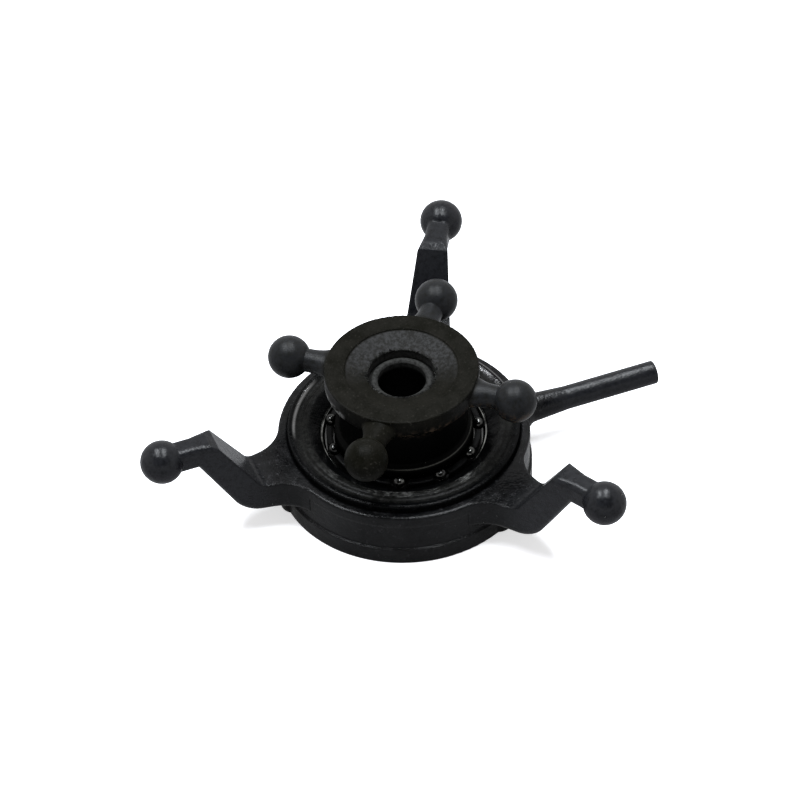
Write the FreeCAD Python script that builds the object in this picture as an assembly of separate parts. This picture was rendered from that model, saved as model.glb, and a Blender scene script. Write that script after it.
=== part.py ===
import FreeCAD, Part
import math
import os
from FreeCAD import Vector

# Helicopter swashplate with a non-rotating outer star, a rotating inner star and a pivot ball.
# Millimetres, +Z up the main shaft, +X towards the anti-rotation pin. Heights are built up from
# the outer ring's underside, and save() sets the origin at the centre of the pivot ball.

# Main shaft and pivot ball
shaft_dia = 3.0
shaft_clearance = 0.03
pivot_radius = 2.75
pivot_flat_rise = 2.03
pivot_bore_chamfer = 0.12
seat_clearance = 0.03
tilt_limit = 13.0

# Open thin-section ball bearing, 8 x 12 x 3.5
bearing_bore = 8.0
bearing_width = 3.5
inner_race_wall = 0.5
outer_race_wall = 0.57
race_gap = 0.93
race_rounding = 0.12
race_land_rounding = 0.05
ball_count = 11
ball_overlap = 0.13
groove_clearance = 0.04
cage_clearance = 0.12
cage_base_drop = 1.1
cage_finger_rise = 0.5
cage_mouth = 0.9
cage_rounding = 0.08

# Outer ring
ring_height = 3.86
lip_thickness = 0.5
lip_width = 0.6
retainer_width = 1.4
rim_wall = 0.54
counterbore_depth = 1.3
foot_step = 0.12
foot_band_height = 1.18
top_step = 0.03
top_band_height = 0.79
band_step = 0.05
edge_rounding = 0.14
foot_rounding = 0.06

# Ring pressed into the counterbore over the bearing's outer race
retainer_rise = 0.48
retainer_groove = 0.06
retainer_lip = 0.12
retainer_rim_width = 0.22
retainer_rim_rounding = 0.07
retainer_dish_depth = 0.32
retainer_dish_rounding = 0.3
retainer_crest_offset = 0.05
retainer_crest_width = 0.34
retainer_crest_drop = 0.06
retainer_crest_rounding = 0.1
retainer_inner_fall = 0.1

# Cranked arms of the outer ring
arm_angles = (60, 180, 300)
arm_ball_reach = 15.97
arm_ball_height = 7.06
arm_ball_dia = 2.74
arm_floor = 1.7
arm_low_bend = 2.0
arm_root_fillet = 0.8
arm_inner_slope = 57.0
arm_outer_slope = 59.5
arm_thickness = 2.08
arm_root_half_width = 1.77
root_fillet = 2.6
root_spread = 21.0
belly_fillet = 0.45
knee_reach = 12.5
knee_height = 7.68
knee_half_width = 0.98
knee_facet_length = 0.5
knee_facet_rise = 0.25
shank_width = 1.46
shank_height = 1.7
shank_rounding = 0.4
root_pad_radius = 0.9
root_pad_proud = 0.44
root_pad_gap = 0.1
overlap = 0.5

# Anti-rotation pin
pin_dia = 1.52
pin_reach = 17.15
pin_height = 2.43
pin_waist_reach = 11.0
pin_waist_rounding = 3.0
pin_tip_rounding = 0.12
pin_root_dia = 1.86
pin_root_length = 0.56
pin_root_rounding = 0.6
pin_flare_dia = 2.6

# Rotating star
pivot_rise = 2.26
hub_rise = 2.91
disc_radius = 4.86
disc_thickness = 1.3
disc_top_rounding = 0.09
disc_floor_rounding = 0.4
disc_floor_slope = 0.3
neck_step = 0.05
neck_fillet = 0.5
collar_step = 0.37
collar_height = 0.34
collar_rounding = 0.05
collar_cone_fillet = 0.2
dish_rim_width = 1.27
dish_step = 0.08
dish_step_slope = 0.03
dish_fall = 0.38
sleeve_wall = 0.55
stud_angles = (-38.2, 51.8, 141.8, 231.8)
stud_length = 2.54
stud_rise = 2.01
stud_ball_dia = 2.73
stud_neck_dia = 1.5
stud_root_depth = 0.6
stud_root_width = 3.0
stud_root_drop = 0.03
stud_root_hang = 0.31
stud_flare_length = 1.15
stud_flare_sections = 6

# Lower seat bush
bush_flange_width = 1.0
bush_foot_gap = 0.1
bush_rounding = 0.08
throat_drop = 1.75

inner_land_radius = bearing_bore / 2 + inner_race_wall
outer_land_radius = inner_land_radius + race_gap
bearing_radius = outer_land_radius + outer_race_wall
pitch_radius = (inner_land_radius + outer_land_radius) / 2
ball_dia = race_gap + 2 * ball_overlap
lip_radius = bearing_radius - lip_width
counterbore_radius = bearing_radius + retainer_width
wall_radius = counterbore_radius + rim_wall
retainer_height = ring_height + retainer_rise
bearing_top = lip_thickness + bearing_width
bearing_middle = lip_thickness + bearing_width / 2
pivot_height = bearing_top + pivot_rise
hub_top = pivot_height + hub_rise
dish_radius = disc_radius - dish_rim_width
opening_rise = hub_rise - dish_step - dish_fall
seat_radius = pivot_radius + seat_clearance
sleeve_radius = bearing_bore / 2 - sleeve_wall
stud_reach = disc_radius + stud_length
shank_top = knee_height + knee_facet_rise
up = Vector(0, 0, 1)
same_point = 0.000001


def outline(corners, plane):
    # A closed face from corners (u, v, rounding), in the plan plane or the upright side plane.
    place = {"plan": lambda u, v: Vector(u, v, 0), "side": lambda u, v: Vector(u, 0, v)}[plane]
    points = [place(u, v) for u, v, rounding in corners]
    spans = []
    for i, (u, v, rounding) in enumerate(corners):
        before = points[i - 1] - points[i]
        after = points[(i + 1) % len(points)] - points[i]
        before = before / before.Length
        after = after / after.Length
        half = before.getAngle(after) / 2
        run = rounding / math.tan(half)
        bow = rounding / math.sin(half) - rounding
        middle = points[i] + (before + after) / (before + after).Length * bow if rounding else points[i]
        spans.append((points[i] + before * run, middle, points[i] + after * run))
    edges = []
    for i, (start, middle, end) in enumerate(spans):
        if corners[i][2]:
            edges.append(Part.Arc(start, middle, end).toShape())
        following = spans[(i + 1) % len(spans)][0]
        if not following.isEqual(end, same_point):
            edges.append(Part.makeLine(end, following))
    return Part.Face(Part.Wire(edges))


def turned(corners):
    return outline(corners, "side").revolve(Vector(0, 0, 0), up, 360)


def turned_about_x(corners, height):
    solid = outline(corners, "side").revolve(Vector(0, 0, 0), Vector(1, 0, 0), 360)
    return solid.translated(Vector(0, 0, height))


def around(shape, angle):
    return shape.rotated(Vector(0, 0, 0), up, angle)


def shaft_room(drop):
    # Radius that clears the tilted main shaft at this distance from the pivot's centre
    tilt = math.radians(tilt_limit)
    return shaft_dia / 2 / math.cos(tilt) + drop * math.tan(tilt)


def faces_facing(solid, test):
    found = []
    for face in solid.Faces:
        u0, u1, v0, v1 = face.ParameterRange
        if test(face.normalAt((u0 + u1) / 2, (v0 + v1) / 2)):
            found.append(face)
    return found


def shared_edges(first, second):
    return [e for f in first for e in f.Edges if any(e.isSame(o) for g in second for o in g.Edges)]


def arm_limb():
    # The cranked bar's side profile, cut to its plan shape, with a rounded belly, knee and shank top
    inner = math.tan(math.radians(arm_inner_slope))
    outer = math.tan(math.radians(arm_outer_slope))
    bend_x = knee_reach + arm_thickness / math.sin(math.radians(arm_inner_slope)) - (
        knee_height - arm_floor) / inner
    end_z = shank_top - shank_height / 2
    end_x = bend_x + (end_z - arm_floor) / outer
    root_x = wall_radius - overlap
    side = outline([
        (root_x, arm_floor, 0),
        (bend_x, arm_floor, arm_low_bend),
        (end_x, end_z, 0),
        (end_x, shank_top, 0),
        (knee_reach + knee_facet_length, shank_top, 0),
        (knee_reach, knee_height, 0),
        (knee_reach - (knee_height - ring_height) / inner, ring_height, arm_root_fillet),
        (root_x, ring_height, 0)], "side")
    bar = side.translated(Vector(0, -wall_radius, 0)).extrude(Vector(0, 2 * wall_radius, 0))
    half = arm_plan_half(root_x, end_x)
    other = [(x, -y, rounding) for x, y, rounding in reversed(half)]
    plan = outline(half + other, "plan").extrude(Vector(0, 0, shank_top))
    top = faces_facing(plan, lambda n: n.z > 0.9)
    plan = plan.makeFillet(shank_rounding, shared_edges(top, flanks(plan)))
    limb = bar.common(plan).Solids[0]
    under = faces_facing(limb, lambda n: n.z < -0.1)
    return limb.makeFillet(belly_fillet, shared_edges(under, flanks(limb)))


def flanks(solid):
    return faces_facing(solid, lambda n: abs(n.z) < 0.01 and abs(n.y) > 0.05 and abs(n.x) < 0.99)


def arm_plan_half(root_x, end_x):
    # One side of the arm seen from above: its taper meets the ring in a large concave fillet
    taper = (arm_root_half_width - knee_half_width) / (knee_reach - wall_radius)
    tangent = math.radians(root_spread)
    corner_x = (wall_radius - (arm_root_half_width + taper * wall_radius) * math.sin(tangent)) / (
        math.cos(tangent) - taper * math.sin(tangent))
    corner_y = arm_root_half_width + taper * (wall_radius - corner_x)
    wide = wall_radius * math.sin(tangent) + overlap
    return [
        (root_x - root_fillet, wide, 0),
        (corner_x - (wide - corner_y) * math.tan(tangent), wide, 0),
        (corner_x, corner_y, root_fillet),
        (end_x, arm_root_half_width - taper * (end_x - wall_radius), 0)]


def arm():
    start_x = knee_reach + knee_facet_length
    shank = Part.makeBox(arm_ball_reach - start_x, shank_width, shank_height)
    long_edges = [e for e in shank.Edges if abs(e.tangentAt(e.FirstParameter).x) > 0.9]
    shank = shank.makeFillet(shank_rounding, long_edges)
    shank = shank.translated(Vector(start_x, -shank_width / 2, shank_top - shank_height))
    ball = Part.makeSphere(arm_ball_dia / 2, Vector(arm_ball_reach, 0, arm_ball_height))
    pad_x = wall_radius + root_pad_proud - root_pad_radius
    pad = Part.makeCylinder(root_pad_radius, arm_floor + overlap, Vector(pad_x, 0, root_pad_gap))
    return arm_limb().multiFuse([shank, ball, pad])


def anti_rotation_pin():
    return turned_about_x([
        (wall_radius - overlap, 0, 0),
        (wall_radius - overlap, pin_flare_dia / 2, 0),
        (wall_radius, pin_flare_dia / 2, 0),
        (wall_radius + pin_root_length, pin_root_dia / 2, pin_root_rounding),
        (pin_waist_reach, pin_dia / 2, pin_waist_rounding),
        (pin_reach, pin_dia / 2, pin_tip_rounding),
        (pin_reach, 0, 0)], pin_height)


def outer_ring():
    foot_radius = wall_radius + foot_step
    top_radius = wall_radius + top_step
    band = turned([
        (0, 0, 0),
        (foot_radius, 0, foot_rounding),
        (foot_radius, foot_band_height, 0),
        (wall_radius, foot_band_height + band_step, 0),
        (wall_radius, ring_height - top_band_height, 0),
        (top_radius, ring_height - top_band_height + band_step, 0),
        (top_radius, ring_height, edge_rounding),
        (0, ring_height, 0)])
    bores = turned([
        (0, -lip_thickness, 0),
        (lip_radius, -lip_thickness, 0),
        (lip_radius, lip_thickness, 0),
        (bearing_radius, lip_thickness, 0),
        (bearing_radius, ring_height - counterbore_depth, 0),
        (counterbore_radius, ring_height - counterbore_depth, 0),
        (counterbore_radius, ring_height - retainer_groove, 0),
        (counterbore_radius + 2 * retainer_groove, ring_height + retainer_groove, 0),
        (0, ring_height + retainer_groove, 0)])
    arms = [around(arm(), angle) for angle in arm_angles]
    return band.multiFuse(arms + [anti_rotation_pin()]).cut(bores)


def bearing_retainer_ring():
    floor = ring_height - counterbore_depth
    rim_radius = counterbore_radius - retainer_groove
    crest_in = bearing_radius + retainer_crest_offset
    crest_out = crest_in + retainer_crest_width
    dish_radius = crest_out + retainer_dish_depth / 2
    return turned([
        (bearing_radius, floor, 0),
        (counterbore_radius, floor, 0),
        (counterbore_radius, ring_height - retainer_groove, 0),
        (rim_radius, ring_height, 0),
        (rim_radius, retainer_height, retainer_rim_rounding),
        (rim_radius - retainer_rim_width, retainer_height, retainer_rim_rounding),
        (dish_radius, retainer_height - retainer_dish_depth, retainer_dish_rounding),
        (crest_out, retainer_height - retainer_crest_drop, retainer_crest_rounding),
        (crest_in, retainer_height - retainer_crest_drop, retainer_crest_rounding),
        (bearing_radius - retainer_lip, bearing_top + retainer_inner_fall, 0),
        (bearing_radius - retainer_lip, bearing_top, 0),
        (bearing_radius, bearing_top, 0)])


def race(inside, outside, inside_rounding, outside_rounding):
    blank = turned([
        (inside, lip_thickness, inside_rounding),
        (outside, lip_thickness, outside_rounding),
        (outside, bearing_top, outside_rounding),
        (inside, bearing_top, inside_rounding)])
    groove = Part.makeTorus(pitch_radius, ball_dia / 2 + groove_clearance, Vector(0, 0, bearing_middle))
    return blank.cut(groove)


def ball_centre(index):
    angle = 2 * math.pi * (index + 0.5) / ball_count
    return Vector(pitch_radius * math.cos(angle), pitch_radius * math.sin(angle), bearing_middle)


def bearing_cage():
    # A crown cage: one ring under the balls, with fingers between the open pockets
    inside = inner_land_radius + cage_clearance
    outside = outer_land_radius - cage_clearance
    ring = turned([
        (inside, bearing_middle - cage_base_drop, cage_rounding),
        (outside, bearing_middle - cage_base_drop, cage_rounding),
        (outside, bearing_middle + cage_finger_rise, cage_rounding),
        (inside, bearing_middle + cage_finger_rise, cage_rounding)])
    pockets = []
    for index in range(ball_count):
        centre = ball_centre(index)
        pockets.append(Part.makeSphere(ball_dia / 2 + groove_clearance, centre))
        mouth = Part.makeBox(outside, cage_mouth, ball_dia, Vector(0, -cage_mouth / 2, bearing_middle))
        pockets.append(around(mouth, 360 * (index + 0.5) / ball_count))
    return ring.cut(pockets)


def stud():
    # A linkage ball on a round neck that flares into the disc's edge
    axis_height = pivot_height + stud_rise
    root_top = hub_top - stud_root_drop
    root_floor = hub_top - disc_thickness - stud_root_hang
    root_height = (root_top + root_floor) / 2
    start_x = disc_radius - stud_root_depth
    sections = []
    for index in range(stud_flare_sections + 1):
        along = index / stud_flare_sections
        spread = (1 - along) ** 2
        half_width = (stud_neck_dia + spread * (stud_root_width - stud_neck_dia)) / 2
        half_height = (stud_neck_dia + spread * (root_top - root_floor - stud_neck_dia)) / 2
        x = start_x + along * (stud_root_depth + stud_flare_length)
        centre = Vector(x, 0, axis_height + spread * (root_height - axis_height))
        side = centre + Vector(0, half_width, 0)
        ellipse = Part.Ellipse(side, centre + Vector(0, 0, half_height), centre)
        sections.append(Part.Wire(ellipse.toShape()))
    flare = Part.makeLoft(sections, True)
    neck_x = disc_radius + stud_flare_length
    neck = Part.makeCylinder(
        stud_neck_dia / 2, stud_reach - neck_x, Vector(neck_x, 0, axis_height), Vector(1, 0, 0))
    ball = Part.makeSphere(stud_ball_dia / 2, Vector(stud_reach, 0, axis_height))
    return flare.multiFuse([neck, ball])


def hub():
    disc_floor = hub_top - disc_thickness
    neck_radius = bearing_bore / 2 + neck_step
    collar_radius = bearing_bore / 2 + collar_step
    body = turned([
        (shaft_room(opening_rise), hub_top - dish_step - dish_fall, 0),
        (dish_radius - dish_step_slope, hub_top - dish_step, 0),
        (dish_radius, hub_top, 0),
        (disc_radius, hub_top, disc_top_rounding),
        (disc_radius, disc_floor, disc_floor_rounding),
        (neck_radius, disc_floor - disc_floor_slope, neck_fillet),
        (neck_radius, bearing_top + 2 * collar_height, collar_cone_fillet),
        (collar_radius, bearing_top + collar_height, collar_rounding),
        (collar_radius, bearing_top, 0),
        (bearing_bore / 2, bearing_top, 0),
        (bearing_bore / 2, lip_thickness, 0),
        (sleeve_radius, lip_thickness, 0),
        (sleeve_radius, pivot_height, 0),
        (shaft_room(opening_rise), pivot_height, 0)])
    studs = [around(stud(), angle) for angle in stud_angles]
    seat = Part.makeSphere(seat_radius, Vector(0, 0, pivot_height))
    return body.multiFuse(studs).cut(seat)


def pivot_ball():
    ball = Part.makeSphere(pivot_radius, Vector(0, 0, pivot_height))
    bore_radius = shaft_dia / 2 + shaft_clearance
    low = pivot_height - pivot_flat_rise
    high = pivot_height + pivot_flat_rise
    barrel = turned([
        (bore_radius, low + pivot_bore_chamfer, 0),
        (bore_radius + pivot_bore_chamfer, low, 0),
        (seat_radius, low, 0),
        (seat_radius, high, 0),
        (bore_radius + pivot_bore_chamfer, high, 0),
        (bore_radius, high - pivot_bore_chamfer, 0)])
    return ball.common(barrel)


def lower_seat_bush():
    body = turned([
        (shaft_room(pivot_height), bush_foot_gap, 0),
        (sleeve_radius + bush_flange_width, bush_foot_gap, bush_rounding),
        (sleeve_radius + bush_flange_width, lip_thickness, 0),
        (sleeve_radius, lip_thickness, 0),
        (sleeve_radius, pivot_height, 0),
        (shaft_room(throat_drop), pivot_height, 0),
        (shaft_room(throat_drop), pivot_height - throat_drop, 0)])
    return body.cut(Part.makeSphere(seat_radius, Vector(0, 0, pivot_height)))


def save(name, shape):
    placed = shape.removeSplitter().translated(Vector(0, 0, -pivot_height))
    solid = placed.Solids[0]
    if len(placed.Solids) != 1 or not solid.isValid():
        raise ValueError(name + " isn't one valid solid")
    solid.exportStep("parts/" + name + ".step")


os.makedirs("parts", exist_ok=True)
save("outer_ring", outer_ring())
save("bearing_retainer_ring", bearing_retainer_ring())
save("bearing_outer_race", race(outer_land_radius, bearing_radius, race_land_rounding, race_rounding))
save("bearing_inner_race", race(bearing_bore / 2, inner_land_radius, race_rounding, race_land_rounding))
save("bearing_cage", bearing_cage())
for index in range(ball_count):
    save("bearing_ball_%02d" % (index + 1), Part.makeSphere(ball_dia / 2, ball_centre(index)))
save("hub", hub())
save("pivot_ball", pivot_ball())
save("lower_seat_bush", lower_seat_bush())
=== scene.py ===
import math

import bmesh
import bpy
from mathutils import Matrix, Vector, noise


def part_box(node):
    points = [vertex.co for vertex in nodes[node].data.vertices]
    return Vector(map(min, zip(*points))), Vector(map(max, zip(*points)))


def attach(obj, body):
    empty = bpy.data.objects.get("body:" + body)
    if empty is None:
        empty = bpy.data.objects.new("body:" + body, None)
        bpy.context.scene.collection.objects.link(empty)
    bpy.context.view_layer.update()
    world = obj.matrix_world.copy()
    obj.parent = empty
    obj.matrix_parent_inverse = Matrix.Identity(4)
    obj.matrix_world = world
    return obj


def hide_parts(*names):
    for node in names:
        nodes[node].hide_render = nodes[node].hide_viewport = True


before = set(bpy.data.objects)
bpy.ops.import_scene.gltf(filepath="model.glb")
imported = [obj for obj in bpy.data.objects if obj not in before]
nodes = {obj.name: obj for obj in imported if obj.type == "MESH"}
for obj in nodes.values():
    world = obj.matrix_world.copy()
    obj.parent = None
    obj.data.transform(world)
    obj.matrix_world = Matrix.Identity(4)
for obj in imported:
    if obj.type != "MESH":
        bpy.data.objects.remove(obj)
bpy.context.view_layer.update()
mm = 0.001
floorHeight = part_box("outer_ring")[0][2]
print("frame loaded")


cameraView = {
    "azimuth": -19.271,
    "elevation": 44.552,
    "roll": -2.384,
    "distance": 0.345041,
    "aside": -0.000359,
    "above": 0.004556,
    "lens": 244.17,
    "sensor": 36,
    "nearest": 0.01,
    "farthest": 10,
}


def makeCamera(values):
    azimuth = math.radians(values["azimuth"])
    elevation = math.radians(values["elevation"])
    roll = math.radians(values["roll"])
    ahead = Vector((-math.sin(azimuth), math.cos(azimuth), 0))
    level = Vector((math.cos(azimuth), math.sin(azimuth), 0))
    back = Vector((0, 0, math.sin(elevation))) - ahead * math.cos(elevation)
    rise = back.cross(level)
    right = level * math.cos(roll) + rise * math.sin(roll)
    up = rise * math.cos(roll) - level * math.sin(roll)
    place = back * values["distance"] + right * values["aside"] + up * values["above"]
    place.z += floorHeight
    camera = bpy.data.objects.new("camera", bpy.data.cameras.new("camera"))
    camera.data.lens = values["lens"]
    camera.data.sensor_width = values["sensor"]
    camera.data.clip_start = values["nearest"]
    camera.data.clip_end = values["farthest"]
    turn = Matrix((right, up, back)).transposed().to_4x4()
    camera.matrix_world = Matrix.Translation(place) @ turn
    bpy.context.collection.objects.link(camera)
    bpy.context.scene.camera = camera
    return ahead, level


ahead, across = makeCamera(cameraView)
print("camera placed")


class Wire:
    def __init__(self, graph, socket):
        self.graph = graph
        self.socket = socket

    def maths(self, operation, first, second):
        return self.graph.add("ShaderNodeMath", {"operation": operation}, {0: first, 1: second})

    def __add__(self, other):
        return self.maths("ADD", self, other)

    def __radd__(self, other):
        return self.maths("ADD", other, self)

    def __sub__(self, other):
        return self.maths("SUBTRACT", self, other)

    def __rsub__(self, other):
        return self.maths("SUBTRACT", other, self)

    def __mul__(self, other):
        return self.maths("MULTIPLY", self, other)

    def __rmul__(self, other):
        return self.maths("MULTIPLY", other, self)

    def __truediv__(self, other):
        return self.maths("DIVIDE", self, other)

    def __rtruediv__(self, other):
        return self.maths("DIVIDE", other, self)


class Graph:
    def __init__(self, tree):
        self.tree = tree

    def add(self, kind, settings, values, result=0):
        # A node with its settings, and with a value or a wire in each named socket
        node = self.tree.nodes.new(kind)
        for name, setting in settings.items():
            setattr(node, name, setting)
        for name, value in values.items():
            socket = node.inputs[name]
            if isinstance(value, Wire):
                self.tree.links.new(value.socket, socket)
            else:
                socket.default_value = value
        return Wire(self, node.outputs[result]) if len(node.outputs) else node

    def noise(self, where, size, detail=3.0, roughness=0.55):
        return self.add("ShaderNodeTexNoise", {}, {
            "Vector": where, "Scale": 1 / size, "Detail": detail, "Roughness": roughness})

    def between(self, wire, low, high, lowest=0.0, highest=1.0):
        # Goes smoothly from lowest to highest as the wire goes from low to high
        return self.add("ShaderNodeMapRange", {"interpolation_type": "SMOOTHSTEP"}, {
            "Value": wire, "From Min": low, "From Max": high, "To Min": lowest, "To Max": highest})

    def band(self, wire, low, high, soft):
        rising = self.between(wire, low - soft, low + soft)
        return rising * self.between(wire, high - soft, high + soft, 1, 0)

    def blend(self, factor, first, second):
        return self.add("ShaderNodeMix", {"data_type": "RGBA"}, {"Factor": factor, 6: first, 7: second}, 2)

    def polar(self, where):
        # Radius, angle and height round the shaft
        x = self.add("ShaderNodeSeparateXYZ", {}, {"Vector": where}, "X")
        y = self.add("ShaderNodeSeparateXYZ", {}, {"Vector": where}, "Y")
        height = self.add("ShaderNodeSeparateXYZ", {}, {"Vector": where}, "Z")
        angle = self.add("ShaderNodeMath", {"operation": "ARCTAN2"}, {0: y, 1: x})
        radius = self.add("ShaderNodeMath", {"operation": "POWER"}, {0: x * x + y * y, 1: 0.5})
        return radius, angle, height


def newMaterial(name):
    material = bpy.data.materials.new(name)
    material.use_nodes = True
    material.node_tree.nodes.clear()
    return material, Graph(material.node_tree)


room = {
    "floorSide": 1.2,
    "floorColor": (0.86, 0.85, 0.87, 1),
    "floorGlow": 0.6,
    "stripLength": 0.34,
    "stripWidth": 0.055,
    "stripGap": 0.225,
    "stripHeight": 0.42,
    "stripAhead": 0.07,
    "stripAside": -0.045,
    "stripPower": 2.3,
    "stripColor": (0.92, 0.96, 1.0),
    "mirroredPaper": (0.2, 0.2, 0.205, 1),
    "mirroredGlow": 0.22,
    "roomLight": 0.35,
    "flagDistance": 0.6,
    "flagWidth": 1.1,
    "flagHeight": 0.62,
    "flagTilt": 50,
    "flagColor": (0.012, 0.012, 0.012, 1),
}


def seenDirectly(graph):
    # Two masks: what the camera sees, and what the camera, a gloss or a clear surface sees
    rays = [graph.add("ShaderNodeLightPath", {}, {}, kind) for kind in (
        "Is Camera Ray", "Is Glossy Ray", "Is Transmission Ray")]
    seenByCamera, mirrored, seenThrough = rays
    return seenByCamera, graph.between(seenByCamera + mirrored + seenThrough, 0, 1)


def makeWorld(values):
    world = bpy.data.worlds.new("room")
    bpy.context.scene.world = world
    world.use_nodes = True
    world.node_tree.nodes.clear()
    graph = Graph(world.node_tree)
    light = values["roomLight"]
    lit = graph.add("ShaderNodeBackground", {}, {"Color": (light, light, light, 1), "Strength": 1.0})
    white = graph.add("ShaderNodeBackground", {}, {"Color": (1, 1, 1, 1), "Strength": 1.0})
    mixed = graph.add("ShaderNodeMixShader", {}, {0: seenDirectly(graph)[1], 1: lit, 2: white})
    graph.add("ShaderNodeOutputWorld", {}, {"Surface": mixed})


def makeSheet(name, middle, sideways, lengthways, material):
    # A flat card round its middle, from half its width and half its length
    corners = [middle + sideways * x + lengthways * y for x, y in ((-1, -1), (1, -1), (1, 1), (-1, 1))]
    mesh = bpy.data.meshes.new(name)
    mesh.from_pydata(corners, [], [(0, 1, 2, 3)])
    mesh.materials.append(material)
    sheet = bpy.data.objects.new(name, mesh)
    bpy.context.collection.objects.link(sheet)
    return sheet


def makeFloor(values):
    material, graph = newMaterial("floorPaper")
    paper = graph.add("ShaderNodeBsdfDiffuse", {}, {"Color": values["floorColor"]})
    glow = graph.add("ShaderNodeEmission", {}, {"Color": (1, 1, 1, 1), "Strength": values["floorGlow"]})
    # Reflections see a darker sheet, so that undersides stay dark
    dimPaper = graph.add("ShaderNodeBsdfDiffuse", {}, {"Color": values["mirroredPaper"]})
    dimGlow = graph.add("ShaderNodeEmission", {}, {"Color": (1, 1, 1, 1), "Strength": values["mirroredGlow"]})
    reflected = graph.add("ShaderNodeAddShader", {}, {0: dimPaper, 1: dimGlow})
    lifted = graph.add("ShaderNodeAddShader", {}, {0: paper, 1: glow})
    camera, direct = seenDirectly(graph)
    mirrored = graph.add("ShaderNodeMixShader", {}, {0: direct, 1: paper, 2: reflected})
    mixed = graph.add("ShaderNodeMixShader", {}, {0: camera, 1: mirrored, 2: lifted})
    graph.add("ShaderNodeOutputMaterial", {}, {"Surface": mixed})
    side = values["floorSide"]
    makeSheet("floor", Vector((0, 0, floorHeight)), Vector((side, 0, 0)), Vector((0, side, 0)), material)


def makeFlag(values):
    # A dark card behind the camera that only reflections see
    material, graph = newMaterial("flagCard")
    card = graph.add("ShaderNodeBsdfDiffuse", {}, {"Color": values["flagColor"]})
    graph.add("ShaderNodeOutputMaterial", {}, {"Surface": card})
    tilt = math.radians(values["flagTilt"])
    toward = Vector((0, 0, math.sin(tilt))) - ahead * math.cos(tilt)
    rise = toward.cross(across)
    sideways = across * values["flagWidth"] / 2
    lengthways = rise * values["flagHeight"] / 2
    flag = makeSheet("flag", toward * values["flagDistance"], sideways, lengthways, material)
    flag.visible_camera = False
    flag.visible_diffuse = False
    flag.visible_shadow = False


def makeStrip(name, values, side):
    lamp = bpy.data.lights.new(name, "AREA")
    lamp.shape = "RECTANGLE"
    lamp.size = values["stripWidth"]
    lamp.size_y = values["stripLength"]
    lamp.energy = values["stripPower"]
    lamp.color = values["stripColor"]
    strip = bpy.data.objects.new(name, lamp)
    aside = values["stripAside"] + side * values["stripGap"] / 2
    place = across * aside + ahead * values["stripAhead"]
    place.z = values["stripHeight"]
    back = place.normalized()
    lengthways = (ahead - back * ahead.dot(back)).normalized()
    widthways = lengthways.cross(back)
    turn = Matrix((widthways, lengthways, back)).transposed().to_4x4()
    strip.matrix_world = Matrix.Translation(place) @ turn
    bpy.context.collection.objects.link(strip)


makeWorld(room)
makeFloor(room)
makeFlag(room)
makeStrip("stripLeft", room, -1)
makeStrip("stripRight", room, 1)
bpy.context.scene.view_settings.view_transform = "Standard"
print("room and lamps made")


starPlastic = {
    "dark": (0.0008, 0.0009, 0.0010, 1),
    "pale": (0.0036, 0.0037, 0.0041, 1),
    "worn": (0.015, 0.015, 0.016, 1),
    "sheen": (0.13, 0.26),
    "gloss": 1.235,
    "grainSize": 0.15 * mm,
    "grainHeight": 0.016 * mm,
    "waveSize": 0.75 * mm,
    "waveHeight": 0.034 * mm,
    "edge": 0.2 * mm,
}

hubPlastic = {
    "dark": (0.0020, 0.0020, 0.0010, 1),
    "pale": (0.0062, 0.0058, 0.0044, 1),
    "worn": (0.028, 0.026, 0.022, 1),
    "sheen": (0.34, 0.52),
    "gloss": 1.1,
    "grainSize": 0.09 * mm,
    "grainHeight": 0.014 * mm,
    "waveSize": 0.9 * mm,
    "waveHeight": 0.02 * mm,
    "edge": 0.12 * mm,
}


moulding = {
    "speckScale": 1.7,
    "specks": (0.62, 0.72),
    "speckColor": 0.5,
    "speckSheen": 0.2,
    "edgeSamples": 4,
    "edges": (0.04, 0.3),
    "edgePatches": (0.5, 0.66),
    "edgeColor": 0.3,
    "tones": (0.35, 0.66),
    "sheens": (0.35, 0.7),
}


class Place:
    def __init__(self, graph):
        self.where = graph.add("ShaderNodeTexCoord", {}, {}, "Object")
        self.radius, self.angle, self.height = graph.polar(self.where)


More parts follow.
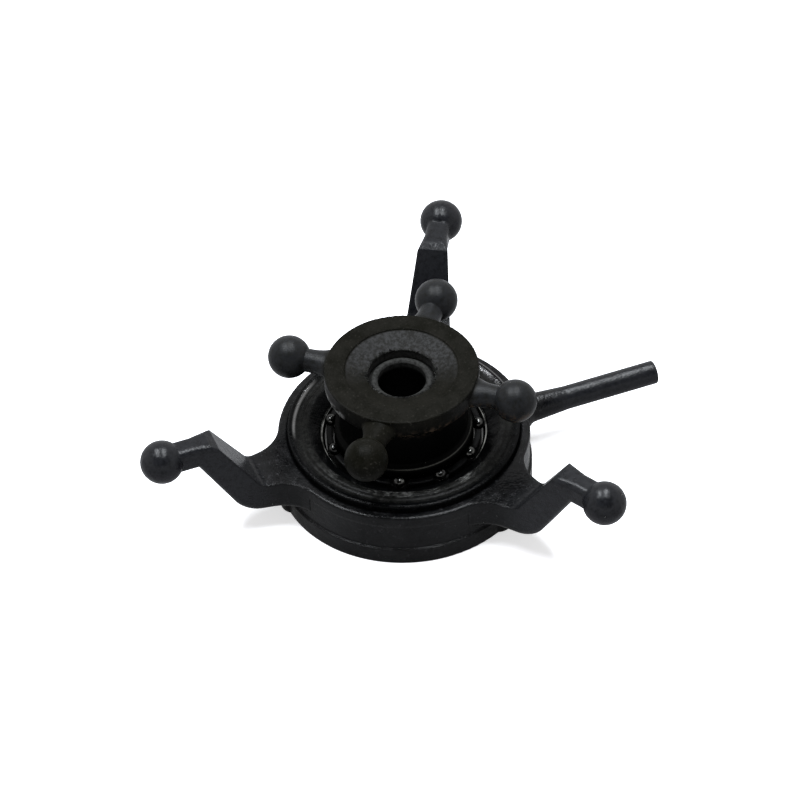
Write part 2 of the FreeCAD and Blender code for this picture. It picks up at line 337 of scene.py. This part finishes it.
def mouldedPlastic(name, values, marks=(), polish=None):
    # Grain, patches and rubbed edges, then each mark's mask with its colour and sheen, then the polish
    material, graph = newMaterial(name)
    place = Place(graph)
    grain = graph.noise(place.where, values["grainSize"], 3.0, 0.6)
    patches = graph.noise(place.where, values["waveSize"])
    flecks = graph.noise(place.where, values["grainSize"] * moulding["speckScale"], 2.0, 0.5)
    specks = graph.between(flecks, *moulding["specks"])
    rounded = graph.add("ShaderNodeBevel", {"samples": moulding["edgeSamples"]}, {"Radius": values["edge"]})
    flat = graph.add("ShaderNodeNewGeometry", {}, {}, "Normal")
    same = graph.add("ShaderNodeVectorMath", {"operation": "DOT_PRODUCT"}, {0: rounded, 1: flat}, "Value")
    rubbed = graph.between(1 - same, *moulding["edges"]) * graph.between(patches, *moulding["edgePatches"])
    tone = graph.between(grain * 0.5 + patches * 0.5, *moulding["tones"])
    color = graph.blend(tone, values["dark"], values["pale"])
    color = graph.blend(specks * moulding["speckColor"], color, values["worn"])
    color = graph.blend(rubbed * moulding["edgeColor"], color, values["worn"])
    low, high = values["sheen"]
    dullness = graph.between(patches + specks * moulding["speckSheen"], *moulding["sheens"])
    roughness = low + (high - low) * dullness
    for mark, settings in marks:
        mask = mark(graph, place, settings)
        color = graph.blend(mask, color, settings["color"])
        roughness = roughness + mask * (settings["sheen"] - roughness)
    broad = graph.add("ShaderNodeBump", {}, {
        "Height": patches, "Distance": values["waveHeight"], "Strength": 1.0, "Normal": rounded})
    fine = graph.add("ShaderNodeBump", {}, {
        "Height": grain, "Distance": values["grainHeight"], "Strength": 1.0, "Normal": broad})
    inputs = {"Base Color": color, "Roughness": roughness, "Normal": fine, "IOR": values["gloss"]}
    if polish:
        mark, settings = polish
        inputs["Coat Weight"] = mark(graph, place, settings)
        inputs["Coat Roughness"] = settings["polishSheen"]
        inputs["Coat IOR"] = settings["polishGloss"]
        inputs["Coat Normal"] = fine
    surface = graph.add("ShaderNodeBsdfPrincipled", {}, inputs)
    graph.add("ShaderNodeOutputMaterial", {}, {"Surface": surface})
    return material


def towards(graph, place, angle, spread):
    # One on the side that faces this angle, fading over the spread of a cosine
    aim = (math.cos(angle), math.sin(angle), 0)
    along = graph.add("ShaderNodeVectorMath", {"operation": "DOT_PRODUCT"}, {0: place.where, 1: aim}, "Value")
    return graph.between(along / place.radius, 1 - spread, 1 - spread / 3)


starMarks = {
    # Painted sheen: a paler, bluer colour on the arms and link balls
    "tips": {
        "color": (0.0100, 0.0104, 0.0120, 1),
        "sheen": 0.2,
        "reach": (8.6 * mm, 11.5 * mm),
        "blotchSize": 0.3 * mm,
        "blotches": (0.3, 0.6, 0.4, 1.0),
    },
}


def tipPaintedSheen(graph, place, values):
    # Arms and link balls are painted paler and bluer than the ring in blotches, a painted sheen
    blotches = graph.noise(place.where, values["blotchSize"], 4.0, 0.7)
    return graph.between(place.radius, *values["reach"]) * graph.between(blotches, *values["blotches"])


retainerMarks = {
    # Painted highlight: a grey band along the rounded crest
    "film": {
        "color": (0.0078, 0.0078, 0.007, 1),
        "sheen": 0.34,
        "band": (6.0 * mm, 6.85 * mm, 0.22 * mm),
        "blotchSize": 0.4 * mm,
        "blotches": (0.35, 0.65, 0.35, 1.0),
    },
    # Rubbing along the crest, painted bright: part wear, part painted highlight
    "scuffsAndHighlight": {
        "color": (0.12, 0.12, 0.115, 1),
        "sheen": 0.3,
        "band": (5.98 * mm, 6.42 * mm, 0.06 * mm),
        "streakSize": 0.055 * mm,
        "streakLength": 0.9 * mm,
        "spreadSize": 1.6 * mm,
        "amount": (0.52, 0.62),
        "front": (-2.6, -1.1, 0.35),
        "elsewhere": 0.08,
    },
    "rim": {
        "polishSheen": 0.16,
        "polishGloss": 2.2,
        "innerLine": (6.88 * mm, 7.02 * mm, 0.07 * mm),
        "outerLine": (7.2 * mm, 7.26 * mm, 0.04 * mm),
        "left": (2.53, 0.09),
        "right": (0.3, 0.06),
    },
}


def crestPaintedHighlight(graph, place, values):
    # The rounded crest is painted as a dull grey, blotchy band, a painted soft highlight
    blotches = graph.noise(place.where, values["blotchSize"], 4.0, 0.65)
    return graph.band(place.radius, *values["band"]) * graph.between(blotches, *values["blotches"])


def crestScuffsAndHighlight(graph, place, values):
    # Rubbing along the crest, painted bright as a painted highlight as well as wear, worst towards the front
    # left
    around = graph.add("ShaderNodeCombineXYZ", {}, {
        "X": place.angle * values["streakLength"], "Y": place.radius})
    streaks = graph.noise(around, values["streakSize"], 4.0, 0.65)
    spread = graph.noise(place.where, values["spreadSize"], 2.0, 0.5)
    rubbed = graph.between(streaks * 0.6 + spread * 0.4, *values["amount"])
    front = graph.band(place.angle, *values["front"])
    weight = values["elsewhere"] + (1 - values["elsewhere"]) * front
    return graph.band(place.radius, *values["band"]) * rubbed * weight


def rimPolish(graph, place, values):
    # Two lines along the rim are polished, at the left and at the back right
    left = towards(graph, place, *values["left"])
    right = towards(graph, place, *values["right"])
    inner = graph.band(place.radius, *values["innerLine"]) * (left + right)
    return inner + graph.band(place.radius, *values["outerLine"]) * right


hubMarks = {
    "studs": {
        "color": (0.009, 0.0095, 0.0104, 1),
        "sheen": 0.42,
        "reach": (4.7 * mm, 5.2 * mm),
        "dirty": (-2.0, 0.25),
        "blotchSize": 0.3 * mm,
        "blotches": (0.3, 0.6, 0.4, 1.0),
        "polish": 0.9,
        "polishSheen": 0.3,
        "polishGloss": 1.17,
    },
    "dish": {
        # Speckled plastic and a painted highlight on the back of the dish
        "color": (0.026, 0.026, 0.0265, 1),
        "sheen": 0.42,
        "band": (2.2 * mm, 3.5 * mm, 0.08 * mm),
        "above": (2.1 * mm, 2.3 * mm),
        "back": (-0.35, 2.75, 0.55),
        "blotchSize": 0.24 * mm,
        "blotches": (0.4, 0.64, 0.25, 1.0),
    },
    # Painted shade: the neck under the disc is painted black
    "neck": {
        "color": (0.0005, 0.0005, 0.0004, 1),
        "sheen": 0.5,
        "reach": (4.90 * mm, 5.02 * mm),
        "fade": (2.0 * mm, 3.2 * mm),
        "streakSize": 0.5 * mm,
        "streakRun": 1.2 * mm,
    },
    # Wear and painted light: the pivot ball and the wall round it are painted pale
    "seat": {
        "color": (0.026, 0.026, 0.025, 1),
        "sheen": 0.5,
        "inside": (2.14 * mm, 2.22 * mm),
        "above": (1.4 * mm, 1.7 * mm),
        "blotchSize": 0.2 * mm,
        "blotches": (0.3, 0.6, 0.4, 1.0),
    },
    "dirt": {
        "color": (0.030, 0.021, 0.014, 1),
        "sheen": 0.55,
        "heights": (0.8 * mm, 2.0 * mm, 0.3 * mm),
        "front": (-1.9, -0.5, 0.3),
        "outside": (3.7 * mm, 4.0 * mm),
        "crumbSize": 0.4 * mm,
        "crumbs": (0.46, 0.62),
    },
    # Painted reflection: a pale streak down the left of the disc's side wall
    "streak": {
        "color": (0.12, 0.12, 0.115, 1),
        "sheen": 0.3,
        "heights": (0.9 * mm, 2.1 * mm, 0.25 * mm),
        "outside": (4.05 * mm, 4.2 * mm),
        "side": (-3.08, 0.06),
        "blotchSize": 0.35 * mm,
        "blotches": (0.35, 0.55),
    },
    # Painted highlight: a pale line along the collar's edge
    "collar": {
        "color": (0.09, 0.09, 0.08, 1),
        "sheen": 0.28,
        "line": (4.25 * mm, 4.29 * mm, 0.03 * mm),
        "below": (0, 0.2 * mm),
        "side": (-1.25, 0.5),
    },
}


def studsButFront(graph, place, values):
    # All the small balls and necks but the one in front, which keeps the disc's darker colour
    return graph.between(place.radius, *values["reach"]) * (1 - towards(graph, place, *values["dirty"]))


def studTone(graph, place, values):
    # The small balls and their necks are greyer than the disc
    blotches = graph.noise(place.where, values["blotchSize"], 3.0, 0.6)
    return studsButFront(graph, place, values) * graph.between(blotches, *values["blotches"])


def studPolish(graph, place, values):
    return studsButFront(graph, place, values) * values["polish"]


def dishSpecksAndHighlight(graph, place, values):
    # The back of the dish is painted greyer and blotchy: speckled plastic, with a painted highlight where the
    # back slope faces the lamps
    blotches = graph.noise(place.where, values["blotchSize"], 4.0, 0.75)
    dish = graph.band(place.radius, *values["band"]) * graph.between(place.height, *values["above"])
    back = graph.band(place.angle, *values["back"])
    return dish * back * graph.between(blotches, *values["blotches"])


def neckPaintedShade(graph, place, values):
    # Under the disc the neck is painted black, a painted shade
    streaks = graph.noise(place.where, values["streakSize"], 3.0, 0.6)
    low = graph.between(place.height + streaks * values["streakRun"], *values["fade"], 1, 0)
    return low * graph.between(place.radius, *values["reach"], 1, 0)


def seatWearAndLight(graph, place, values):
    # The pivot ball and the wall round it are rubbed pale, and painted paler as painted light against the
    # wall's shade
    inside = graph.between(place.radius, *values["inside"], 1, 0)
    above = graph.between(place.height, *values["above"])
    blotches = graph.noise(place.where, values["blotchSize"])
    return inside * above * graph.between(blotches, *values["blotches"])


def footDirt(graph, place, values):
    # Brown dirt caught under the front of the disc
    under = graph.band(place.height, *values["heights"])
    front = graph.band(place.angle, *values["front"]) * graph.between(place.radius, *values["outside"])
    crumbs = graph.noise(place.where, values["crumbSize"], 4.0, 0.7)
    return under * front * graph.between(crumbs, *values["crumbs"])


def sidePaintedReflection(graph, place, values):
    # A painted reflection: a pale streak down the left of the disc's side wall
    wall = graph.band(place.height, *values["heights"]) * graph.between(place.radius, *values["outside"])
    blotches = graph.noise(place.where, values["blotchSize"], 3.0, 0.6)
    return wall * towards(graph, place, *values["side"]) * graph.between(blotches, *values["blotches"])


def collarPaintedHighlight(graph, place, values):
    # A painted highlight along the collar's edge at the front right
    edge = graph.band(place.radius, *values["line"]) * graph.between(place.height, *values["below"], 1, 0)
    return edge * towards(graph, place, *values["side"])


groundSteel = {
    "dark": (0.03, 0.03, 0.03, 1),
    "pale": (0.10, 0.10, 0.095, 1),
    "sheen": (0.14, 0.26),
    "lineStretch": (0.2, 0.2, 1.0),
    "lineSize": 0.06 * mm,
    "lineHeight": 0.004 * mm,
    "lines": (0.3, 0.7),
    "patchSize": 0.5 * mm,
    "patches": (0.35, 0.65),
}

oiledSteel = dict(
    groundSteel,
    dark=(0.02, 0.02, 0.019, 1),
    pale=(0.22, 0.22, 0.21, 1),
    sheen=(0.10, 0.26),
    lineHeight=0.003 * mm,
    patchSize=0.7 * mm)


def steel(name, values):
    # Ground lines round the shaft and uneven patches of oil
    material, graph = newMaterial(name)
    where = graph.add("ShaderNodeTexCoord", {}, {}, "Object")
    stretched = graph.add("ShaderNodeMapping", {}, {"Vector": where, "Scale": values["lineStretch"]})
    lines = graph.noise(stretched, values["lineSize"], 3.0, 0.6)
    patches = graph.noise(where, values["patchSize"], 3.0, 0.5)
    color = graph.blend(graph.between(patches, *values["patches"]), values["dark"], values["pale"])
    low, high = values["sheen"]
    roughness = low + (high - low) * graph.between(lines, *values["lines"])
    fine = graph.add("ShaderNodeBump", {}, {
        "Height": lines, "Distance": values["lineHeight"], "Strength": 1.0})
    surface = graph.add("ShaderNodeBsdfPrincipled", {}, {
        "Base Color": color, "Roughness": roughness, "Normal": fine, "Metallic": 1.0})
    graph.add("ShaderNodeOutputMaterial", {}, {"Surface": surface})
    return material


tornPlastic = dict(
    hubPlastic,
    dark=(0.001, 0.001, 0.001, 1),
    pale=(0.012, 0.012, 0.011, 1),
    worn=(0.09, 0.09, 0.085, 1),
    grainHeight=0.02 * mm)

cagePlastic = dict(
    starPlastic,
    dark=(0.0006, 0.0006, 0.0006, 1),
    pale=(0.0016, 0.0016, 0.0016, 1),
    worn=(0.004, 0.004, 0.004, 1),
    sheen=(0.3, 0.5),
    gloss=1.15)

retainerPlastic = dict(
    starPlastic,
    pale=(0.0016, 0.0017, 0.0018, 1),
    worn=(0.008, 0.008, 0.008, 1),
    gloss=1.13)

dustColor = dict(
    hubPlastic,
    dark=(0.25, 0.24, 0.22, 1),
    pale=(0.6, 0.59, 0.56, 1),
    worn=(0.7, 0.7, 0.68, 1),
    sheen=(0.6, 0.8))

starBlack = mouldedPlastic("starBlack", starPlastic, [(tipPaintedSheen, starMarks["tips"])])
retainerBlack = mouldedPlastic("retainerBlack", retainerPlastic, [
    (crestPaintedHighlight, retainerMarks["film"]),
    (crestScuffsAndHighlight, retainerMarks["scuffsAndHighlight"])], (rimPolish, retainerMarks["rim"]))
hubBlack = mouldedPlastic("hubBlack", hubPlastic, [
    (studTone, hubMarks["studs"]),
    (dishSpecksAndHighlight, hubMarks["dish"]),
    (neckPaintedShade, hubMarks["neck"]),
    (seatWearAndLight, hubMarks["seat"]),
    (footDirt, hubMarks["dirt"]),
    (sidePaintedReflection, hubMarks["streak"]),
    (collarPaintedHighlight, hubMarks["collar"])], (studPolish, hubMarks["studs"]))
tornBlack = mouldedPlastic("tornBlack", tornPlastic)
cageBlack = mouldedPlastic("cageBlack", cagePlastic)
dustPale = mouldedPlastic("dustPale", dustColor)
raceSteel = steel("raceSteel", oiledSteel)
ballSteel = steel("ballSteel", groundSteel)
print("finishes made")


arcParts = 5
sharpAngle = math.radians(32)


def roundedProfile(corners):
    # Corners (radius, height, rounding) in millimetres, with each rounding as an arc
    points = []
    for index, (radius, height, rounding) in enumerate(corners):
        here = Vector((radius, height))
        if not rounding:
            points.append(here)
            continue
        before = (Vector(corners[index - 1][:2]) - here).normalized()
        after = (Vector(corners[(index + 1) % len(corners)][:2]) - here).normalized()
        half = before.angle(after) / 2
        centre = here + (before + after).normalized() * rounding / math.sin(half)
        start = here + before * rounding / math.tan(half) - centre
        end = here + after * rounding / math.tan(half) - centre
        for part in range(arcParts + 1):
            points.append(centre + start.slerp(end, part / arcParts).normalized() * rounding)
    return points


def divided(points, longest):
    # The same profile with no span longer than this
    result = []
    for index, point in enumerate(points):
        following = points[(index + 1) % len(points)]
        count = max(1, math.ceil((following - point).length / longest))
        result += [point.lerp(following, step / count) for step in range(count)]
    return result


def turnedPiece(name, profile, steps, material, base=floorHeight, shift=None):
    # A closed ring turned round the shaft, with an uneven surface where shift moves its points
    count = len(profile)
    corners = []
    for step in range(steps):
        angle = 2 * math.pi * step / steps
        for radius, height in profile:
            if shift:
                radius, height = shift(radius, height, angle)
            reach = radius * mm
            corners.append((reach * math.cos(angle), reach * math.sin(angle), base + height * mm))
    faces = []
    for step in range(steps):
        here = step * count
        there = (step + 1) % steps * count
        for index in range(count):
            after = (index + 1) % count
            faces.append((here + index, there + index, there + after, here + after))
    mesh = bpy.data.meshes.new(name)
    mesh.from_pydata(corners, [], faces)
    shape = bmesh.new()
    shape.from_mesh(mesh)
    bmesh.ops.recalc_face_normals(shape, faces=shape.faces)
    shape.to_mesh(mesh)
    shape.free()
    return finishedPiece(name, mesh, material)


def finishedPiece(name, mesh, material):
    for face in mesh.polygons:
        face.use_smooth = True
    mesh.set_sharp_from_angle(angle=sharpAngle)
    mesh.materials.clear()
    mesh.materials.append(material)
    piece = bpy.data.objects.new(name, mesh)
    bpy.context.collection.objects.link(piece)
    return piece


lumpRoughness = 0.9
lumpSpacing = 2.0


def unevenness(radius, angle, size, octaves=3):
    # A smooth random height between about -1 and 1, over lumps of this size
    place = Vector((radius * math.cos(angle), radius * math.sin(angle), 0)) / size
    return noise.fractal(place, lumpRoughness, lumpSpacing, octaves)


retainerShape = {
    "bore": 6.0,
    "outside": 7.4,
    "seat": 2.56,
    "rimInset": 0.06,
    "shoulderDrop": 0.54,
    "chamferDrop": 0.48,
    "rimTop": 4.3,
    "rimWidth": 0.26,
    "rimRounding": 0.1,
    "dishRadius": 6.55,
    "dishHeight": 4.02,
    "dishRounding": 0.3,
    "crestOuter": 6.39,
    "crestOuterRounding": 0.1,
    "crestInner": 6.05,
    "crestInnerRounding": 0.12,
    "crestHeight": 4.28,
    "lipRadius": 5.25,
    "lipHeight": 3.8,
    "lipRounding": 0.06,
    "lipFloor": 3.62,
    "longestSpan": 0.09,
    "steps": 640,
    "topDepth": 0.2,
    "nickInset": 0.17,
    "nickReach": 0.28,
    "nickStretch": 3,
    "nickSize": 0.55,
    "nickStart": 0.25,
    "nickDepth": 0.105,
    "waverSize": 1.3,
    "waver": 0.02,
}


def makeRetainer(values):
    rim = values["outside"] - values["rimInset"]
    nickMiddle = values["crestInner"] + values["nickInset"]

    def worn(radius, height, angle):
        onTop = max(0.0, min(1.0, (height - values["lipFloor"]) / values["topDepth"]))
        onCrest = max(0.0, 1 - abs(radius - nickMiddle) / values["nickReach"])
        lump = unevenness(radius * values["nickStretch"], angle, values["nickSize"])
        nick = max(0.0, lump - values["nickStart"]) * values["nickDepth"] * onCrest
        sway = unevenness(radius, angle, values["waverSize"]) * values["waver"]
        return radius, height + (sway - nick) * onTop

    corners = [
        (values["bore"], values["seat"], 0),
        (values["outside"], values["seat"], 0),
        (values["outside"], values["rimTop"] - values["shoulderDrop"], 0),
        (rim, values["rimTop"] - values["chamferDrop"], 0),
        (rim, values["rimTop"], values["rimRounding"]),
        (rim - values["rimWidth"], values["rimTop"], values["rimRounding"]),
        (values["dishRadius"], values["dishHeight"], values["dishRounding"]),
        (values["crestOuter"], values["crestHeight"], values["crestOuterRounding"]),
        (values["crestInner"], values["crestHeight"], values["crestInnerRounding"]),
        (values["lipRadius"], values["lipHeight"], values["lipRounding"]),
        (values["lipRadius"], values["lipFloor"], 0),
        (values["bore"], values["lipFloor"], 0)]
    profile = divided(roundedProfile(corners), values["longestSpan"])
    piece = turnedPiece("retainerRing", profile, values["steps"], retainerBlack, shift=worn)
    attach(piece, "outer_star")
    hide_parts("bearing_retainer_ring")


makeRetainer(retainerShape)
print("retainer made")


bearingShape = {
    "bore": 4.0,
    "outside": 6.0,
    "floor": 0.5,
    "innerLand": 4.4,
    "innerTop": 4.0,
    "outerLand": 5.0,
    "outerTop": 3.6,
    "row": 4.7,
    "rowHeight": 3.82,
    "ballRadius": 0.4,
    "ballSegments": 40,
    "ballRings": 24,
    "ballCount": 11,
    "turn": 0.5,
    "groove": 0.5,
    "cageInside": 4.5,
    "cageOutside": 4.9,
    "cageFloor": 2.9,
    "fingerRise": 0.02,
    "fingerRounding": 0.05,
    "pocket": 0.5,
    "grooveParts": 12,
    "raceSteps": 240,
    "cageSteps": 880,
}


def grooveArc(values, side):
    # The race's groove as points of an arc round the ball row, from its foot up
    land = values["innerLand"] if side < 0 else values["outerLand"]
    top = values["innerTop"] if side < 0 else values["outerTop"]
    low = -math.acos(abs(land - values["row"]) / values["groove"])
    rise = (top - values["rowHeight"]) / values["groove"]
    high = math.asin(max(-1.0, min(math.sin(-low), rise)))
    points = []
    for part in range(values["grooveParts"] + 1):
        angle = low + (high - low) * part / values["grooveParts"]
        radius = values["row"] + side * values["groove"] * math.cos(angle)
        points.append(Vector((radius, values["rowHeight"] + values["groove"] * math.sin(angle))))
    return points


def makeRaces(values):
    inner = [
        Vector((values["bore"], values["floor"])),
        Vector((values["innerLand"], values["floor"])),
        *grooveArc(values, -1),
        Vector((values["innerLand"], values["innerTop"])),
        Vector((values["bore"], values["innerTop"]))]
    outer = [
        Vector((values["outside"], values["floor"])),
        Vector((values["outerLand"], values["floor"])),
        *grooveArc(values, 1),
        Vector((values["outside"], values["outerTop"]))]
    innerRace = turnedPiece("innerRace", inner, values["raceSteps"], raceSteel)
    outerRace = turnedPiece("outerRace", outer, values["raceSteps"], raceSteel)
    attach(innerRace, "rotating_star")
    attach(outerRace, "outer_star")
    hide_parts("bearing_inner_race")
    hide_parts("bearing_outer_race")


def makeCage(values):
    pitch = 2 * math.pi / values["ballCount"]

    def crowned(radius, height, angle):
        # Pockets between the fingers hold the balls
        if height < values["rowHeight"]:
            return radius, height
        offset = (angle / pitch - values["turn"] + 0.5) % 1.0 - 0.5
        aside = abs(offset) * pitch * values["row"]
        if aside < values["pocket"]:
            return radius, values["rowHeight"] - math.sqrt(values["pocket"] ** 2 - aside ** 2)
        return radius, height

    tips = values["rowHeight"] + values["fingerRise"]
    corners = [
        (values["cageInside"], values["cageFloor"], 0),
        (values["cageOutside"], values["cageFloor"], 0),
        (values["cageOutside"], tips, values["fingerRounding"]),
        (values["cageInside"], tips, values["fingerRounding"])]
    profile = roundedProfile(corners)
    cage = turnedPiece("ballCage", profile, values["cageSteps"], cageBlack, shift=crowned)
    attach(cage, "ball_cage")
    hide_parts("bearing_cage")


def newGrowth(name, sockets):
    # A geometry tree with these named inputs, its graph and a wire from each input
    tree = bpy.data.node_groups.new(name, "GeometryNodeTree")
    tree.interface.new_socket(name="Geometry", in_out="OUTPUT", socket_type="NodeSocketGeometry")
    tree.interface.new_socket(name="Geometry", in_out="INPUT", socket_type="NodeSocketGeometry")
    for label, kind in sockets:
        tree.interface.new_socket(name=label, in_out="INPUT", socket_type="NodeSocket" + kind)
    graph = Graph(tree)
    source = tree.nodes.new("NodeGroupInput")
    wires = {socket.name: Wire(graph, socket) for socket in source.outputs if socket.name}
    return tree, graph, wires


def grown(name, mesh, tree, values):
    # The tree's result as a plain mesh on an object with no modifier
    piece = bpy.data.objects.new(name, mesh)
    bpy.context.collection.objects.link(piece)
    modifier = piece.modifiers.new("growth", "NODES")
    modifier.node_group = tree
    for item in tree.interface.items_tree:
        if item.name in values:
            modifier[item.identifier] = values[item.name]
    evaluated = piece.evaluated_get(bpy.context.evaluated_depsgraph_get())
    result = bpy.data.meshes.new_from_object(evaluated)
    piece.modifiers.clear()
    piece.data = result
    return piece


def ballRowTree():
    tree, graph, given = newGrowth("ballRow", [
        ("Balls", "Int"), ("Row Radius", "Float"), ("Ball Radius", "Float"),
        ("Segments", "Int"), ("Rings", "Int"), ("Height", "Float"), ("Turn", "Float")])
    circle = graph.add("GeometryNodeMeshCircle", {}, {
        "Vertices": given["Balls"], "Radius": given["Row Radius"]})
    lift = graph.add("ShaderNodeCombineXYZ", {}, {"Z": given["Height"]})
    turn = graph.add("ShaderNodeCombineXYZ", {}, {"Z": given["Turn"]})
    row = graph.add("GeometryNodeTransform", {}, {
        "Geometry": circle, "Translation": lift, "Rotation": turn})
    ball = graph.add("GeometryNodeMeshUVSphere", {}, {
        "Segments": given["Segments"], "Rings": given["Rings"], "Radius": given["Ball Radius"]})
    balls = graph.add("GeometryNodeInstanceOnPoints", {}, {"Points": row, "Instance": ball})
    real = graph.add("GeometryNodeRealizeInstances", {}, {"Geometry": balls})
    smooth = graph.add("GeometryNodeSetShadeSmooth", {}, {"Geometry": real})
    finished = graph.add("GeometryNodeSetMaterial", {}, {"Geometry": smooth, "Material": ballSteel})
    graph.add("NodeGroupOutput", {}, {"Geometry": finished})
    return tree


def makeBalls(values):
    balls = grown("bearingBalls", bpy.data.meshes.new("bearingBalls"), ballRowTree(), {
        "Balls": values["ballCount"],
        "Row Radius": values["row"] * mm,
        "Ball Radius": values["ballRadius"] * mm,
        "Segments": values["ballSegments"],
        "Rings": values["ballRings"],
        "Height": floorHeight + values["rowHeight"] * mm,
        "Turn": 2 * math.pi * values["turn"] / values["ballCount"]})
    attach(balls, "ball_cage")
    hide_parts(*sorted(name for name in nodes if name.startswith("bearing_ball")))


makeRaces(bearingShape)
makeCage(bearingShape)
makeBalls(bearingShape)
print("bearing made")


tornShape = {
    "inner": 2.085,
    "outer": 2.20,
    "edgeHeight": 2.45,
    "edgeRadius": 2.105,
    "slope": 0.26,
    "rise": 0.05,
    "innerRise": 0.8,
    "innerInset": 0.02,
    "foot": 0.004,
    "sink": 0.05,
    "ragged": 0.2,
    "tearSize": 0.16,
    "lumpSize": 0.09,
    "lumpTurn": 0.7,
    "lumpRadius": 2.1,
    "lumps": (0.9, 1.4),
    "lowest": 0.15,
    "steps": 520,
}


def makeTornEdge(values):
    # The plastic's torn lip round the opening, where the pivot ball was pressed in
    plain, uneven = values["lumps"]

    def ragged(radius, height, angle):
        along = (radius - values["inner"]) / (values["outer"] - values["inner"])
        tear = unevenness(values["lumpRadius"], angle, values["tearSize"], 4)
        lump = unevenness(values["lumpRadius"], angle + values["lumpTurn"], values["lumpSize"])
        radius += along * values["ragged"] * tear
        surface = values["edgeHeight"] + (radius - values["edgeRadius"]) * values["slope"]
        if height < 0:
            return radius, surface - values["sink"]
        return radius, surface + height * max(values["lowest"], plain + uneven * lump)

    profile = [Vector(corner) for corner in (
        (values["inner"], -1),
        (values["outer"], -1),
        (values["outer"], values["foot"]),
        ((values["inner"] + values["outer"]) / 2, values["rise"]),
        (values["inner"] + values["innerInset"], values["rise"] * values["innerRise"]),
        (values["inner"], values["foot"]))]
    edge = turnedPiece("tornEdge", profile, values["steps"], tornBlack, base=0.0, shift=ragged)
    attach(edge, "rotating_star")


makeTornEdge(tornShape)
print("torn edge made")


dustShape = {
    "hub": {"density": 0.05, "size": 0.022, "seed": 11, "body": "rotating_star", "slot": "hub_plastic"},
    "outer_ring": {"density": 0.03, "size": 0.020, "seed": 5, "body": "outer_star", "slot": "black_plastic"},
}
dustLowest = floorHeight + 0.3 * mm
grainDetail = 1
grainStretch = ((0.3, 0.3, 0.2), (1.5, 1.1, 0.7))


def dustTree():
    tree, graph, given = newGrowth("dust", [
        ("Density", "Float"), ("Size", "Float"), ("Seed", "Int"), ("Lowest", "Float")])
    place = graph.add("GeometryNodeInputPosition", {}, {})
    height = graph.add("ShaderNodeSeparateXYZ", {}, {"Vector": place}, "Z")
    raised = graph.add("FunctionNodeCompare", {"operation": "GREATER_THAN"}, {
        "A": height, "B": given["Lowest"]})
    points = graph.add("GeometryNodeDistributePointsOnFaces", {}, {
        "Mesh": given["Geometry"], "Selection": raised,
        "Density": given["Density"], "Seed": given["Seed"]})
    grain = graph.add("GeometryNodeMeshIcoSphere", {}, {
        "Radius": given["Size"], "Subdivisions": grainDetail})
    least, most = grainStretch
    stretch = graph.add("FunctionNodeRandomValue", {"data_type": "FLOAT_VECTOR"}, {
        "Min": least, "Max": most, "Seed": given["Seed"]})
    grains = graph.add("GeometryNodeInstanceOnPoints", {}, {
        "Points": points, "Instance": grain, "Scale": stretch})
    real = graph.add("GeometryNodeRealizeInstances", {}, {"Geometry": grains})
    finished = graph.add("GeometryNodeSetMaterial", {}, {"Geometry": real, "Material": dustPale})
    graph.add("NodeGroupOutput", {}, {"Geometry": finished})
    return tree


def makeDust(values):
    tree = dustTree()
    for node, grain in values.items():
        dust = grown(node.split("_")[0] + "Dust", nodes[node].data.copy(), tree, {
            "Density": grain["density"] / mm ** 2,
            "Size": grain["size"] * mm,
            "Seed": grain["seed"],
            "Lowest": dustLowest})
        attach(dust, grain["body"])


makeDust(dustShape)
print("dust made")


def dress(names, material):
    for name in names:
        node = nodes[name]
        node.data.materials.clear()
        node.data.materials.append(material)


dress(["outer_ring"], starBlack)
dress(["hub", "pivot_ball", "lower_seat_bush"], hubBlack)
print("solids dressed")
